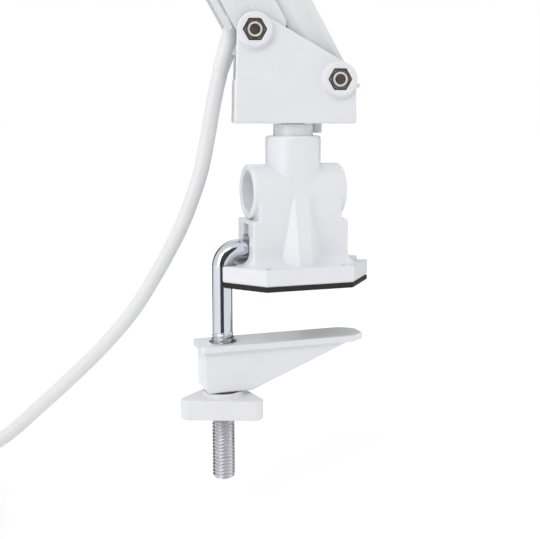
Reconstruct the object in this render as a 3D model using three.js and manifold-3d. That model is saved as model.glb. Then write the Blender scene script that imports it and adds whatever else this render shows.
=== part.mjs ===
// A clamp-on swing arm desk lamp with two parallelogram arms, in millimetres, +Z up.
// The origin is on the pan axis, at the underside of the rubber pad that rests on the desk.
// +X runs from the hook bolt towards the jaw's tip, and -Y is the front of the clamp.
import * as THREE from 'three';
import { mergeVertices } from 'three/addons/utils/BufferGeometryUtils.js';
import { ConvexGeometry } from 'three/addons/geometries/ConvexGeometry.js';
import Module from 'manifold-3d';

const wasm = await Module();
wasm.setup();

// ---------------------------------------------------------------- driving dimensions

const GAP = 0.3; // between pieces that touch
const rad = THREE.MathUtils.degToRad;

const PAD = { thick: 1.5, halfLength: 27, halfWidth: 18.3, frontHalf: 15.7, endHalf: 4.7 };
const BOLT_NOTCH = { half: 4.3, deep: 21.4 }; // in each end of the plate and its pad
const SCREW = { radius: 1.1, x: 13.6, y: 14.6 };
const PLATE_TOP = 7.5;
const COLUMN = { radius: 9.6, top: 51.5, bore: 7.1, boreFloor: 22 };
const BARREL = { radius: 9.35, bore: 7, half: 16.9, z: 32.5 };
const WAIST = 15; // half of the length of the web between the barrel and the skirt
const SKIRT = { halfLength: 17.4, halfWidth: 9.35, top: 22.8, slotDepth: 7.4, roof: 1.6 };
const SLOT = { half: 4, top: 17.2, narrowHalf: 2.9 }; // each end of the skirt: narrower above the hook
const CAST_FOOT = 5; // castings that stand on the plate start inside it, at this height

const BOLT = {
  x: -26, rod: 3.5, thread: 4, hookZ: 12.6, bend: 6, threadTop: -17.6, bottom: -70, inner: -6, chamfer: 1,
};
const JAW = { top: -19.8, flange: 2.5, left: -35.1, right: 26, halfFlange: 7, halfBody: 5.5, bottom: -37.1 };
const KNOB = { top: -38.9, bottom: -46, apothem: 9.7, corner: 3.2, collar: 7.2, bore: 5.8, turn: -20 };
const INSERT = { outer: 5.4, inner: 4.5 };

const TURRET_TURN = -13; // degrees about +Z, how the turret stands at rest
const BLOCK = {
  left: -20.8, right: 20.5, bottom: 55.8, floor: 3, inner: 7, outer: 9, wallTop: 70.3, wall: 2, edge: 5.9,
};
const TAB = { top: 78, half: 3.6 };
const PIVOT_A = [-14, 86.3]; // in the turret's own X-Z plane
const PIVOT_B = [14.6, 70.3];
const BOSS = { radius: 5.8, raised: 1.8, web: 0.9 };
const FASTENER = { shank: 2, acrossFlats: 6.5, nutBore: 2.4, thick: 2.7 };

const LOWER = { length: 380, angle: 119.5 };
const UPPER = { length: 360, angle: 18 };
const ARM_A = { outer: 6.6, wall: 1.3, left: 5.2, right: -11.1, foot: 5.8 };
const ARM_B = { outer: 5, wall: 1.1, left: 6.6, right: -5, foot: 5.5 };
const COVER = { inner: 5.9, outer: 8.1, wall: 1.2 };
const FOOT_OPENING = 24; // the webs stop this far from a pivot, which leaves the cord its way out
const PIVOT_HOLE = 2.5;

const ELBOW_UPPER_A = [30, 38]; // from the lower arm's upper pivot A
const ELBOW_UPPER_B = [35.9, 4.4];
const ELBOW_SPACER = [22, 9.5];
const PLATE_EDGE = 7.2; // of the elbow's and the head's plates round each pivot

const SHADE = { mouth: 78, neck: 26, height: 118, wall: 1.2 };
const STEM_OFFSET = 34; // from the head bracket's pivots to the swivel stem

const CORD = { radius: 2.6, planeTurn: -18.6 };
const FLOOR = -88; // the surface that the spare cord lies on
const COIL = { along: -152, middle: 28.5, layers: 4, pitch: 5.4, lift: 1.5 }; // two turns in each layer
const PLUG = { width: 35, thick: 13.6, length: 34, pin: 2, pinLength: 19, pinSpacing: 18.6 };

// ---------------------------------------------------------------- materials

const finish = (color, roughness, metalness) =>
  new THREE.MeshStandardMaterial({ color, roughness, metalness });
const WHITE_CAST = finish(0xe6e7ea, 0.38, 0);
const WHITE_STEEL = finish(0xe4e5e8, 0.35, 0);
const WHITE_PLASTIC = finish(0xe8e8e8, 0.45, 0);
const WHITE_CORD = finish(0xe2e2e2, 0.5, 0);
const RUBBER = finish(0x231a18, 0.9, 0);
const CHROME = finish(0xc4c8d0, 0.15, 1);
const ZINC = finish(0xa8a9ad, 0.35, 1);
const BRASS = finish(0xb8945a, 0.35, 1);
const OPAL = finish(0xf4f1e8, 0.3, 0);

// ---------------------------------------------------------------- shape helpers

/** A closed geometry as a manifold solid, with shared corners merged and slivers dropped. */
function solid(geometry) {
  const bare = geometry.clone();
  bare.deleteAttribute('normal');
  bare.deleteAttribute('uv');
  const merged = mergeVertices(bare, 1e-4);
  const corners = merged.index.array;
  const triVerts = [];
  for (let i = 0; i < corners.length; i += 3) {
    const [a, b, c] = corners.slice(i, i + 3);
    if (a !== b && b !== c && c !== a) triVerts.push(a, b, c);
  }
  return new wasm.Manifold(new wasm.Mesh({
    numProp: 3,
    vertProperties: Float32Array.from(merged.attributes.position.array),
    triVerts: Uint32Array.from(triVerts),
  }));
}

function geometryOf(manifold) {
  const { numProp, vertProperties, triVerts } = manifold.getMesh();
  const geometry = new THREE.BufferGeometry();
  geometry.setAttribute('position', new THREE.BufferAttribute(vertProperties, numProp));
  geometry.setIndex([...triVerts]);
  return geometry;
}

const join = (first, ...others) =>
  geometryOf(others.reduce((body, other) => body.add(solid(other)), solid(first)));
const cut = (first, ...tools) =>
  geometryOf(tools.reduce((body, tool) => body.subtract(solid(tool)), solid(first)));

const box = (x0, x1, y0, y1, z0, z1) =>
  new THREE.BoxGeometry(x1 - x0, y1 - y0, z1 - z0).translate((x0 + x1) / 2, (y0 + y1) / 2, (z0 + z1) / 2);

/** A solid of revolution about +Z, its [radius, height] points going up the outside. */
const turned = (profile, sides = 24) =>
  new THREE.LatheGeometry(profile.map(([r, h]) => new THREE.Vector2(r, h)), sides).rotateX(Math.PI / 2);
const rod = (radius, low, high, sides = 24) =>
  turned([[0, low], [radius, low], [radius, high], [0, high]], sides);
const rodAlongY = (radius, y0, y1, [x, z], sides = 16) => rod(radius, -y1, -y0, sides).rotateX(Math.PI / 2)
  .translate(x, 0, z);
const rodAlongX = (radius, x0, x1, y, z, sides = 24) => rod(radius, x0, x1, sides).rotateY(Math.PI / 2)
  .translate(0, y, z);

const outline = (points) => new THREE.Shape(points.map(([x, y]) => new THREE.Vector2(x, y)));

/** The convex outline round a set of circles, each [x, y, radius]. */
function hullOf(circles, perCircle = 20) {
  const points = circles.flatMap(([x, y, r]) => Array.from({ length: perCircle }, (_, i) => {
    const a = (i + 0.5) / perCircle * 2 * Math.PI;
    return [x + r * Math.cos(a), y + r * Math.sin(a)];
  })).sort((p, q) => p[0] - q[0] || p[1] - q[1]);
  const half = (list) => list.reduce((chain, p) => {
    while (chain.length > 1) {
      const [[ax, ay], [bx, by]] = chain.slice(-2);
      if ((bx - ax) * (p[1] - ay) - (by - ay) * (p[0] - ax) > 1e-9) break;
      chain.pop();
    }
    return [...chain, p];
  }, []);
  return outline([...half(points).slice(0, -1), ...half([...points].reverse()).slice(0, -1)]);
}

/** An outline drawn in the X-Z plane, made thick between two values of Y. */
const slab = (shape, y0, y1) =>
  new THREE.ExtrudeGeometry(shape, { depth: y1 - y0, bevelEnabled: false, curveSegments: 8 })
    .rotateX(Math.PI / 2).translate(0, y1, 0);
/** An outline drawn in the X-Y plane, made thick between two values of Z. */
const layer = (shape, z0, z1) =>
  new THREE.ExtrudeGeometry(shape, { depth: z1 - z0, bevelEnabled: false, curveSegments: 8 })
    .translate(0, 0, z0);

const hexagon = (acrossFlats, [x, z]) => outline(Array.from({ length: 6 }, (_, i) => [
  x + acrossFlats / Math.sqrt(3) * Math.cos(i * Math.PI / 3),
  z + acrossFlats / Math.sqrt(3) * Math.sin(i * Math.PI / 3),
]));

/** A round bar that follows a path. */
const bar = (path, radius, steps, sides = 8) => {
  const section = outline(Array.from({ length: sides }, (_, i) =>
    [radius * Math.cos(i / sides * 2 * Math.PI), radius * Math.sin(i / sides * 2 * Math.PI)]));
  return new THREE.ExtrudeGeometry(section, { steps, bevelEnabled: false, extrudePath: path });
};

const lamp = new THREE.Group();
const part = (name, geometry, material, parent = lamp) => {
  const mesh = new THREE.Mesh(geometry, material);
  mesh.name = name;
  parent.add(mesh);
  return mesh;
};
const groupAt = (x, y, z, parent = lamp) => {
  const group = new THREE.Group();
  group.position.set(x, y, z);
  parent.add(group);
  return group;
};

// ---------------------------------------------------------------- desk clamp

/** The octagon of the base plate and its pad, with a notch at each end where a hook bolt passes. */
function footprint() {
  const { halfLength: l, halfWidth: w, frontHalf: f, endHalf: e } = PAD;
  const notch = BOLT_NOTCH;
  return outline([
    [-l, -e], [-f, -w], [f, -w], [l, -e], [l, -notch.half], [notch.deep, -notch.half],
    [notch.deep, notch.half], [l, notch.half], [l, e], [f, w], [-f, w], [-l, e],
    [-l, notch.half], [-notch.deep, notch.half], [-notch.deep, -notch.half], [-l, -notch.half],
  ]);
}

/** The wedge that stiffens the casting in front or behind: side is -1 at the front. */
function gusset(side) {
  const [foot, top] = [7, 31];
  const corners = [[2.1, -14.5, foot], [9.2, -8.5, foot], [9.2, -6, foot], [2.6, -9.75, top],
    [3.9, -8.5, top], [3.9, -6, top]];
  return new ConvexGeometry([-1, 1].flatMap((mirror) =>
    corners.map(([x, y, z]) => new THREE.Vector3(mirror * x, side * y, z))));
}

function bracketCasting() {
  const body = join(
    layer(footprint(), PAD.thick + GAP, PLATE_TOP),
    turned([[0, CAST_FOOT], [COLUMN.radius, CAST_FOOT], [COLUMN.radius, COLUMN.top - 0.8],
      [COLUMN.radius - 0.8, COLUMN.top], [0, COLUMN.top]], 32),
    rodAlongX(BARREL.radius, -BARREL.half, BARREL.half, 0, BARREL.z, 32),
    box(-WAIST, WAIST, -SKIRT.halfWidth, SKIRT.halfWidth, CAST_FOOT, BARREL.z),
    box(-SKIRT.halfLength, SKIRT.halfLength, -SKIRT.halfWidth, SKIRT.halfWidth, CAST_FOOT, SKIRT.top),
    gusset(1), gusset(-1));
  const slots = [-1, 1].flatMap((side) => {
    const ends = [side * (SKIRT.halfLength - SKIRT.slotDepth), side * (SKIRT.halfLength + 2)]
      .sort((a, b) => a - b);
    return [
      box(...ends, -SLOT.half, SLOT.half, PLATE_TOP, SLOT.top),
      box(...ends, -SLOT.narrowHalf, SLOT.narrowHalf, SLOT.top - 1, SKIRT.top - SKIRT.roof),
    ];
  });
  const screws = [[-1, -1], [1, -1], [-1, 1], [1, 1]]
    .map(([i, j]) => rod(SCREW.radius, 0, PLATE_TOP + 1, 10).translate(i * SCREW.x, j * SCREW.y, 0));
  return cut(body,
    rod(COLUMN.bore, COLUMN.boreFloor, COLUMN.top + 1, 32),
    rodAlongX(BARREL.bore, -BARREL.half - 1, BARREL.half + 1, 0, BARREL.z, 28),
    rodAlongX(BOLT.rod + GAP, -SKIRT.halfLength, BOLT.inner + 1, 0, BOLT.hookZ, 16),
    ...slots, ...screws);
}

function hookBolt() {
  const path = new THREE.CurvePath();
  const corner = new THREE.Vector3(BOLT.x, 0, BOLT.hookZ);
  const inward = corner.clone().add(new THREE.Vector3(BOLT.bend, 0, 0));
  const down = corner.clone().add(new THREE.Vector3(0, 0, -BOLT.bend));
  path.add(new THREE.LineCurve3(new THREE.Vector3(BOLT.inner, 0, BOLT.hookZ), inward));
  path.add(new THREE.QuadraticBezierCurve3(inward, corner, down));
  path.add(new THREE.LineCurve3(down, new THREE.Vector3(BOLT.x, 0, BOLT.threadTop)));
  const { thread: major, chamfer, bottom, threadTop: top } = BOLT;
  const thread = turned([[0, bottom], [major - chamfer, bottom], [major, bottom + chamfer],
    [major, top - chamfer], [BOLT.rod, top + 0.2], [0, top + 0.2]], 16);
  return join(bar(path, BOLT.rod, 20, 16), thread.translate(BOLT.x, 0, 0));
}

function clampJaw() {
  const under = JAW.top - JAW.flange;
  const body = outline([[-33.8, under + 0.6], [-33.8, JAW.bottom + 1.5], [-32.4, JAW.bottom],
    [-16.5, JAW.bottom], [20.4, under - 0.1], [20.4, under + 0.6]]);
  const corner = 0.8;
  const tip = { long: 5, half: 3.5 };
  const flange = outline([[JAW.left, -JAW.halfFlange + corner], [JAW.left + corner, -JAW.halfFlange],
    [JAW.right - tip.long, -JAW.halfFlange], [JAW.right, -tip.half], [JAW.right, tip.half],
    [JAW.right - tip.long, JAW.halfFlange], [JAW.left + corner, JAW.halfFlange],
    [JAW.left, JAW.halfFlange - corner]]);
  return cut(
    join(slab(body, -JAW.halfBody, JAW.halfBody), layer(flange, under, JAW.top)),
    rod(BOLT.thread + 0.6, JAW.bottom - 1, JAW.top + 1, 20).translate(BOLT.x, 0, 0));
}

function clampKnob() {
  const reach = 2 * (KNOB.apothem - KNOB.corner);
  const lobes = [90, 210, 330].map((a) => [reach * Math.cos(rad(a)), reach * Math.sin(rad(a)), KNOB.corner]);
  const collarTop = JAW.bottom - GAP;
  return cut(
    join(layer(hullOf(lobes, 24), KNOB.bottom, KNOB.top), rod(KNOB.collar, KNOB.bottom + 1, collarTop, 24)),
    rod(KNOB.bore, KNOB.bottom - 1, collarTop + 1, 20)).rotateZ(rad(KNOB.turn));
}

part('bracket_casting', bracketCasting(), WHITE_CAST);
part('desk_pad', layer(footprint(), 0, PAD.thick), RUBBER);
part('hook_bolt', hookBolt(), CHROME);
part('clamp_jaw', clampJaw(), WHITE_CAST);
const boltAxis = groupAt(BOLT.x, 0, 0);
part('clamp_knob', clampKnob(), WHITE_PLASTIC, boltAxis);
part('knob_insert', cut(rod(INSERT.outer, KNOB.bottom + 0.8, JAW.bottom - 1, 20),
  rod(INSERT.inner, KNOB.bottom, JAW.bottom, 20)), BRASS, boltAxis);

// ---------------------------------------------------------------- turret

const turret = groupAt(0, 0, 0);
turret.rotation.z = rad(TURRET_TURN);

/** One side plate with a raised boss and a hexagonal pocket at each pivot; side is -1 at the front. */
function pivotPlate(shape, pivots, side) {
  const span = (from, to) => [side * from, side * to].sort((a, b) => a - b);
  const face = BLOCK.outer + BOSS.raised;
  const plate = join(slab(shape, ...span(BLOCK.inner, BLOCK.outer)),
    ...pivots.map((p) => rodAlongY(BOSS.radius, ...span(BLOCK.outer - 0.5, face), p, 24)));
  return cut(plate, ...pivots.flatMap((p) => [
    slab(hexagon(FASTENER.acrossFlats + 2 * GAP, p), ...span(BLOCK.inner + BOSS.web, face + 1)),
    rodAlongY(PIVOT_HOLE, ...span(BLOCK.inner - 1, face), p),
  ]));
}

/** The bolt and lock nut through a pair of plates: the head is at the back and the nut at the front. */
function fastenPivot(name, pivot, parent) {
  const seat = BLOCK.inner + BOSS.web + GAP;
  const head = join(rodAlongY(FASTENER.shank, -seat - 2.2, seat + 1, pivot),
    slab(hexagon(FASTENER.acrossFlats, pivot), seat, seat + FASTENER.thick));
  const nut = cut(slab(hexagon(FASTENER.acrossFlats, pivot), -seat - FASTENER.thick, -seat),
    rodAlongY(FASTENER.nutBore, -seat - 5, 0, pivot));
  part(`${name}_bolt`, head, ZINC, parent);
  part(`${name}_nut`, nut, ZINC, parent);
}

function turretBlock() {
  const corner = 1;
  const side = hullOf([[BLOCK.left + corner, BLOCK.bottom + corner, corner],
    [BLOCK.right - corner, BLOCK.bottom + corner, corner], [...PIVOT_A, BLOCK.edge],
    [...PIVOT_B, BLOCK.edge]], 24);
  const plates = [-1, 1].map((s) => pivotPlate(side, [PIVOT_A, PIVOT_B], s));
  const top = BLOCK.bottom + BLOCK.floor;
  const reach = BLOCK.inner + 1;
  const across = (x0, x1, z0, z1) => box(x0, x1, -reach, reach, z0, z1);
  const body = join(...plates,
    across(BLOCK.left, BLOCK.right, BLOCK.bottom + 0.2, top),
    across(BLOCK.left + 0.1, BLOCK.left + BLOCK.wall, BLOCK.bottom + 1, BLOCK.wallTop),
    across(BLOCK.right - BLOCK.wall, BLOCK.right - 0.1, BLOCK.bottom + 1, top + 1.6),
    box(BLOCK.left + 1, BLOCK.left + 2.4, -TAB.half, TAB.half, BLOCK.wallTop - 1, TAB.top),
    box(7.4, 10.4, 1.5, 5, COLUMN.top + 0.8, BLOCK.bottom + 1),
    rodAlongX(0.8, BLOCK.right - 1, BLOCK.right + 1.3, -8, PIVOT_B[1] - 2, 10));
  return cut(body, rod(4.4, BLOCK.bottom - 1, top + 1, 20));
}

const spigotTop = BLOCK.bottom + 5.3;
const spigotProfile = [[0, 24], [6.2, 24], [6.9, 24.8], [6.9, BLOCK.bottom - GAP], [4, BLOCK.bottom - GAP],
  [4, spigotTop - 0.8], [3.2, spigotTop], [0, spigotTop]];

/** The tapered sleeve that the cord leaves by, with the lug that sits on the turret's tab. */
function strainRelief() {
  const top = new THREE.Vector3(-17.4, 0, 96.5);
  const end = new THREE.Vector3(-25.2, 0, 73.2);
  const long = top.distanceTo(end);
  const sleeve = turned([[0, 0], [2.8, 0], [3, 1], [3.8, long - 6], [3.9, long - 1], [3.3, long],
    [0, long]], 16);
  sleeve.rotateY(Math.atan2(top.x - end.x, top.z - end.z)).translate(end.x, 0, end.z);
  return join(sleeve, box(-22, -17.6, -2.5, 2.5, TAB.top + GAP, TAB.top + 4));
}

part('turret_block', turretBlock(), WHITE_CAST, turret);
part('pan_spigot', turned(spigotProfile, 32), WHITE_STEEL, turret);
part('cord_strain_relief', strainRelief(), WHITE_PLASTIC, turret);
fastenPivot('lower_pivot_a', PIVOT_A, turret);
fastenPivot('lower_pivot_b', PIVOT_B, turret);

// ---------------------------------------------------------------- arms

/** An arm lies along its group's +X from the pivot, and its group turns it up to its angle. */
function armGroup([x, z], angle) {
  const group = groupAt(x, 0, z, turret);
  group.rotation.y = -rad(angle);
  return group;
}

function channel({ outer, wall, left, right, foot }, length, webAt, webFrom) {
  const corner = foot - 1;
  const cheek = hullOf([
    [corner - foot, left - corner, corner], [corner - foot, right + corner, corner],
    [length - corner + foot, left - corner, corner], [length - corner + foot, right + corner, corner]], 16);
  const web = box(webFrom, length - webFrom, -outer, outer, ...webAt);
  return cut(join(slab(cheek, -outer, wall - outer), slab(cheek, outer - wall, outer), web),
    ...[0, length].map((x) => rodAlongY(PIVOT_HOLE, -outer - 1, outer + 1, [x, 0])));
}

/** The channel that carries the lead, its web on the outside under a clip-on cover. */
function armA(name, length, pivot, angle) {
  const group = armGroup(pivot, angle);
  const { outer, wall, left } = ARM_A;
  part(`${name}_channel`, channel(ARM_A, length, [left - wall, left], FOOT_OPENING), WHITE_STEEL, group);
  const lip = (side) => {
    const [y0, y1] = [side * outer, side * (outer - wall)].sort((a, b) => a - b);
    return box(4, length - 4, y0, y1, COVER.inner, COVER.outer);
  };
  const cover = join(lip(-1), lip(1),
    box(FOOT_OPENING, length - FOOT_OPENING, -outer, outer, COVER.outer - COVER.wall, COVER.outer));
  part(`${name}_cover`, cover, WHITE_PLASTIC, group);
  const lead = box(FOOT_OPENING, length - FOOT_OPENING, -2.2, 2.2, left + GAP,
    COVER.outer - COVER.wall - GAP);
  part(`${name}_lead`, lead, WHITE_CORD, group);
}

/** The narrower channel that nests into the first, with a spacer bush in each end. */
function armB(name, length, pivot, angle) {
  const group = armGroup(pivot, angle);
  const { outer, wall, right } = ARM_B;
  part(`${name}_channel`, channel(ARM_B, length, [right, right + wall], 12), WHITE_STEEL, group);
  const reach = outer - wall - GAP;
  for (const [end, x] of [['foot', 0], ['top', length]]) {
    const bush = cut(rodAlongY(3.9, -reach, reach, [x, 0], 16),
      rodAlongY(PIVOT_HOLE, -reach - 1, reach + 1, [x, 0]));
    part(`${name}_${end}_bush`, bush, WHITE_PLASTIC, group);
  }
}

const along = ([x, z], length, angle) =>
  [x + length * Math.cos(rad(angle)), z + length * Math.sin(rad(angle))];
const shift = ([x, z], [dx, dz]) => [x + dx, z + dz];

armA('lower_arm_a', LOWER.length, PIVOT_A, LOWER.angle);
armB('lower_arm_b', LOWER.length, PIVOT_B, LOWER.angle);

// ---------------------------------------------------------------- elbow and upper arms

const elbowA = along(PIVOT_A, LOWER.length, LOWER.angle);
const elbowB = along(PIVOT_B, LOWER.length, LOWER.angle);
const upperA = shift(elbowA, ELBOW_UPPER_A);
const upperB = shift(elbowA, ELBOW_UPPER_B);
const elbowPivots = [elbowA, elbowB, upperA, upperB];
const elbowShape = hullOf(elbowPivots.map((p) => [...p, PLATE_EDGE]), 24);
const spacerAt = shift(elbowA, ELBOW_SPACER);

for (const [name, side] of [['elbow_front_plate', -1], ['elbow_rear_plate', 1]]) {
  const plate = pivotPlate(elbowShape, elbowPivots, side);
  part(name, cut(plate, rodAlongY(2.5, -20, 20, spacerAt)), WHITE_CAST, turret);
}
const spacerHalf = BLOCK.inner - GAP;
part('elbow_spacer',
  join(rodAlongY(4, -spacerHalf, spacerHalf, spacerAt), rodAlongY(2.1, -9.4, 9.4, spacerAt)),
  WHITE_STEEL, turret);
fastenPivot('elbow_lower_a', elbowA, turret);
fastenPivot('elbow_lower_b', elbowB, turret);
fastenPivot('elbow_upper_a', upperA, turret);
fastenPivot('elbow_upper_b', upperB, turret);

armA('upper_arm_a', UPPER.length, upperA, UPPER.angle);
armB('upper_arm_b', UPPER.length, upperB, UPPER.angle);

// ---------------------------------------------------------------- head

const headA = along(upperA, UPPER.length, UPPER.angle);
const headB = along(upperB, UPPER.length, UPPER.angle);
const stemX = headB[0] + STEM_OFFSET;
const stemLow = headB[1] - 2; // underside of the head bracket's nose

/** Two plates joined by a nose block that the swivel stem stands in. */
function headBracket() {
  const side = hullOf([[...headA, PLATE_EDGE], [...headB, PLATE_EDGE], [stemX - 15, stemLow + 6, 4],
    [stemX - 15, headA[1] - 8, 4]], 24);
  const nose = hullOf([[stemX - 11, stemLow + 3, 3], [stemX + 5, stemLow + 3, 3],
    [stemX + 5, stemLow + 17, 3],
    [stemX - 11, stemLow + 17, 3]], 12);
  const body = join(...[-1, 1].map((s) => pivotPlate(side, [headA, headB], s)),
    slab(nose, -BLOCK.outer + 0.05, BLOCK.outer - 0.05));
  return cut(body, rod(4.4, stemLow - 5, headA[1] + 20, 20).translate(stemX, 0, 0));
}

part('head_bracket', headBracket(), WHITE_CAST, turret);
fastenPivot('head_pivot_a', headA, turret);
fastenPivot('head_pivot_b', headB, turret);

const head = groupAt(stemX, 0, stemLow, turret); // z = 0 here is the underside of the nose
const TILT_Z = -23;

function stemAndKnuckle() {
  const stem = turned([[0, -10], [4, -10], [4, 24], [3, 25], [0, 25]], 20);
  const collar = rod(7, -6, -GAP, 20);
  const ears = [-1, 1].map((s) => slab(hullOf([[0, TILT_Z, 6.5], [-4, -8, 2.5], [4, -8, 2.5]], 16),
    ...[s * 3, s * 6.4].sort((a, b) => a - b)));
  const bridge = box(-6.4, 6.4, -6.4, 6.4, -10, -5.6);
  return cut(join(stem, collar, bridge, ...ears), rodAlongY(PIVOT_HOLE, -9, 9, [0, TILT_Z]));
}
part('head_knuckle', stemAndKnuckle(), WHITE_CAST, head);
part('stem_retainer', cut(rod(7, 22, 24.4, 20), rod(4.35, 20, 26, 20)), ZINC, head);

const tiltBolt = join(rodAlongY(FASTENER.shank, -7.6, 13, [0, TILT_Z]),
  slab(hexagon(FASTENER.acrossFlats, [0, TILT_Z]), -9.6, -6.7));
part('tilt_bolt', tiltBolt, ZINC, head);
const tiltKnobShape = hullOf([0, 72, 144, 216, 288]
  .map((a) => [6.5 * Math.cos(rad(a)), 6.5 * Math.sin(rad(a)), 3.5]), 16);
part('tilt_knob', cut(slab(tiltKnobShape, 6.9, 15).translate(0, 0, TILT_Z),
  rodAlongY(2.8, 6, 13.4, [0, TILT_Z])), WHITE_PLASTIC, head);

const CAP_TOP = TILT_Z - 12;
const SHADE_TOP = CAP_TOP - 46;

function shadeCap() {
  const cup = turned([[0, CAP_TOP - 48], [24.4, CAP_TOP - 48], [24.4, CAP_TOP - 6], [22, CAP_TOP - 1.5],
    [16, CAP_TOP], [0, CAP_TOP]], 32);
  const inside = turned([[0, CAP_TOP - 50], [22.6, CAP_TOP - 50], [22.6, CAP_TOP - 8], [19, CAP_TOP - 3],
    [0, CAP_TOP - 3]], 32);
  const ear = slab(hullOf([[0, TILT_Z, 6], [-7, CAP_TOP - 2, 1.5], [7, CAP_TOP - 2, 1.5]], 16), -2.6, 2.6);
  return cut(join(cup, ear), inside, rodAlongY(PIVOT_HOLE, -5, 5, [0, TILT_Z]),
    rod(3.4, CAP_TOP - 6, CAP_TOP + 2, 16).translate(-13, 0, 0));
}

function shade() {
  const { mouth, neck, height, wall } = SHADE;
  const bell = (inset) => Array.from({ length: 9 }, (_, i) => {
    const t = i / 8;
    return [neck - inset + (mouth - neck) * Math.sin(t * Math.PI / 2) ** 1.25, SHADE_TOP - t * height];
  });
  const rim = [mouth + 1, SHADE_TOP - height];
  return turned([...bell(wall), rim, ...bell(0).reverse(), [neck - wall, SHADE_TOP]], 40);
}

part('shade_cap', shadeCap(), WHITE_STEEL, head);
part('shade', shade(), WHITE_STEEL, head);
part('lampholder', turned([[0, SHADE_TOP - 22], [19, SHADE_TOP - 22], [20, SHADE_TOP - 20],
  [20, SHADE_TOP + 18],
  [10, SHADE_TOP + 30], [0, SHADE_TOP + 30]], 24), WHITE_PLASTIC, head);
part('bulb_screw_cap', turned([[0, SHADE_TOP - 34], [12.8, SHADE_TOP - 34], [12.8, SHADE_TOP - 22 - GAP],
  [0, SHADE_TOP - 22 - GAP]], 20), ZINC, head);
part('bulb_glass', turned([[0, SHADE_TOP - 104], [14, SHADE_TOP - 101.5], [24, SHADE_TOP - 93],
  [29, SHADE_TOP - 80], [28.5, SHADE_TOP - 66], [23, SHADE_TOP - 52], [16.5, SHADE_TOP - 42],
  [14, SHADE_TOP - 34 - GAP], [0, SHADE_TOP - 34 - GAP]], 24), OPAL, head);
part('switch_button', turned([[0, CAP_TOP - 5], [4.6, CAP_TOP - 5], [4.6, CAP_TOP - 3.6],
  [2.9, CAP_TOP - 3.6],
  [2.9, CAP_TOP + 3.4], [2.2, CAP_TOP + 4], [0, CAP_TOP + 4]], 16).translate(-13, 0, 0), WHITE_PLASTIC, head);

// ---------------------------------------------------------------- power cord

// The cord hangs in an upright plane turned from X. Its places are [along, off, up]: along that
// plane, off it towards the back, and up. It then lies on the surface and is wound up.
const cordPlane = groupAt(0, 0, 0);
cordPlane.rotation.z = rad(CORD.planeTurn);
const place = (points) => points.map(([x, y, z]) => new THREE.Vector3(x, y, z));

const low = FLOOR + COIL.lift;
const ringTop = low + COIL.layers * COIL.pitch;
const topLayer = ringTop - COIL.pitch / 2;
const bottomLayer = low + COIL.pitch / 2;
const outerTurn = COIL.middle + COIL.pitch;
const hanging = place([
  [-25, -2.5, 72.7], [-26.6, -2.5, 66], [-28.1, -2.4, 58.6], [-29.3, -2.3, 52], [-30.5, -2.2, 45.9],
  [-32.1, -2, 39], [-34.3, -1.8, 32.3], [-37.2, -1.6, 24.5], [-40.8, -1.3, 16.6], [-48.3, -1, 3],
  [-57, -0.6, -10.6], [-67.5, -0.3, -23], [-80.2, 0, -35.6], [-91.7, 0, -46.1], [-104.2, 0, -57.1],
  [-112, 0, -62.1], [-120.5, 0, -65.8], [-131.3, 0, topLayer],
]);
part('power_cord', bar(new THREE.CatmullRomCurve3(hanging, false, 'centripetal'), CORD.radius, 22),
  WHITE_CORD, cordPlane);

const inside = COIL.middle - 1.5 * COIL.pitch;
const outside = COIL.middle + 1.5 * COIL.pitch;
const spare = groupAt(COIL.along, -outerTurn, 0, cordPlane); // on the coil's own axis
part('cord_coil', turned([[inside, low + 1], [inside + 1, low], [outside - 1, low], [outside, low + 1],
  [outside, ringTop - 1], [outside - 1, ringTop], [inside + 1, ringTop], [inside, ringTop - 1],
  [inside, low + 1]], 32), WHITE_CORD, spare);

/** A flat band round the coil's bundle of turns, which curve away inside its width. */
function cordTie() {
  const curve = 0.6;
  const grow = (by) => outline([[inside - curve - by, low - by], [outside + by, low - by],
    [outside + by, ringTop + by], [inside - curve - by, ringTop + by]]);
  return cut(slab(grow(GAP + 0.9), -3.5, 3.5), slab(grow(GAP), -4, 4));
}
part('cord_tie', cordTie().rotateZ(rad(30)), WHITE_PLASTIC, spare);

// The last of the cord leaves the bottom layer towards -Y and runs to the plug beside the coil.
const plugZ = FLOOR + PLUG.thick / 2 + 0.1;
const tail = place([[-outerTurn, -20, bottomLayer], [-outerTurn, -26, bottomLayer + 0.3],
  [-outerTurn, -33, plugZ - 0.6], [-outerTurn, -38, plugZ]]);
part('cord_tail', bar(new THREE.CatmullRomCurve3(tail, false, 'centripetal'), CORD.radius, 5), WHITE_CORD,
  spare);

const plug = groupAt(-outerTurn, -38 - GAP, plugZ, spare);
plug.rotation.z = Math.PI; // the plug's own +Y runs from its cord to its pins

function plugBody() {
  const relief = turned([[0, 0], [3.1, 0], [4.6, 14], [0, 14]], 16).rotateX(-Math.PI / 2);
  const end = 12 + PLUG.length;
  const plan = hullOf([[-4, 15, 3], [4, 15, 3], [-PLUG.width / 2 + 3, 32, 3], [PLUG.width / 2 - 3, 32, 3],
    [-PLUG.width / 2 + 3, end - 3, 3], [PLUG.width / 2 - 3, end - 3, 3]], 16);
  return join(layer(plan, -PLUG.thick / 2, PLUG.thick / 2), relief);
}
part('plug_body', plugBody(), WHITE_PLASTIC, plug);
for (const [name, side] of [['plug_pin_left', -1], ['plug_pin_right', 1]]) {
  const pin = turned([[0, 0], [PLUG.pin, 0], [PLUG.pin, PLUG.pinLength - 1], [PLUG.pin - 0.8, PLUG.pinLength],
    [0, PLUG.pinLength]], 12).rotateX(-Math.PI / 2);
  part(name, pin.translate(side * PLUG.pinSpacing / 2, 12 + PLUG.length + GAP, 0), ZINC, plug);
}

export default lamp;
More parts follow.
